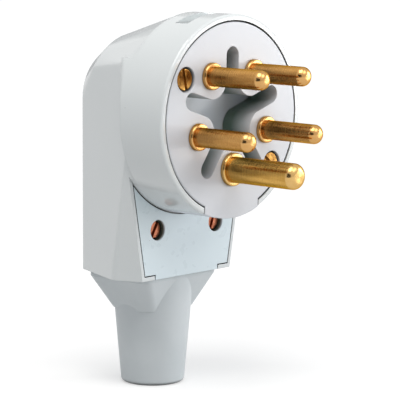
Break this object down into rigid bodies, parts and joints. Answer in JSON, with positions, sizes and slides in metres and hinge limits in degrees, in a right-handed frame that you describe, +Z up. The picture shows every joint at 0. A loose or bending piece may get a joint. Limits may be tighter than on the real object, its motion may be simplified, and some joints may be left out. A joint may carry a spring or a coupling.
{
  "type": "three-phase power plug",
  "caption": "Angled three-phase plug: round contact face with brass pins and a star recess, tapered grip body, screwed cover plate and tapered cable sleeve.",
  "frame": {"origin": "centre of the round contact face", "axes": "pins point to -Y, +Z up and away from the cable, +X to the right seen from the front"},
  "size_m": [0.0624, 0.078, 0.1178],
  "materials": {
    "shell": "glossy moulded thermoset, pale grey",
    "face": "glossy moulded thermoset, pale grey",
    "cover": "glossy moulded plastic, pale blue grey",
    "sleeve": "satin grey soft plastic",
    "pin_brass": "turned, satin shank and polished tip",
    "terminal_brass": "turned",
    "screw_brass": "turned",
    "screw_copper": "copper plated",
    "steel": "zinc plated",
    "clamp": "moulded"
  },
  "bodies": {
    "root": {"housing": "shell", "contact_carrier": "face", "cover_plate": "cover", "cable_sleeve": "sleeve", "line_pin_1": "pin_brass", "line_pin_2": "pin_brass", "line_pin_3": "pin_brass", "neutral_pin": "pin_brass", "earth_pin": "pin_brass", "line_terminal_1": "terminal_brass", "line_terminal_2": "terminal_brass", "line_terminal_3": "terminal_brass", "neutral_terminal": "terminal_brass", "earth_terminal": "terminal_brass", "terminal_screws": "steel", "carrier_screws": "screw_brass", "carrier_inserts": "terminal_brass", "cover_screws": "screw_copper", "cover_inserts": "terminal_brass", "cord_clamp": "clamp", "cord_clamp_screws": "steel"}
  },
  "joints": []
}
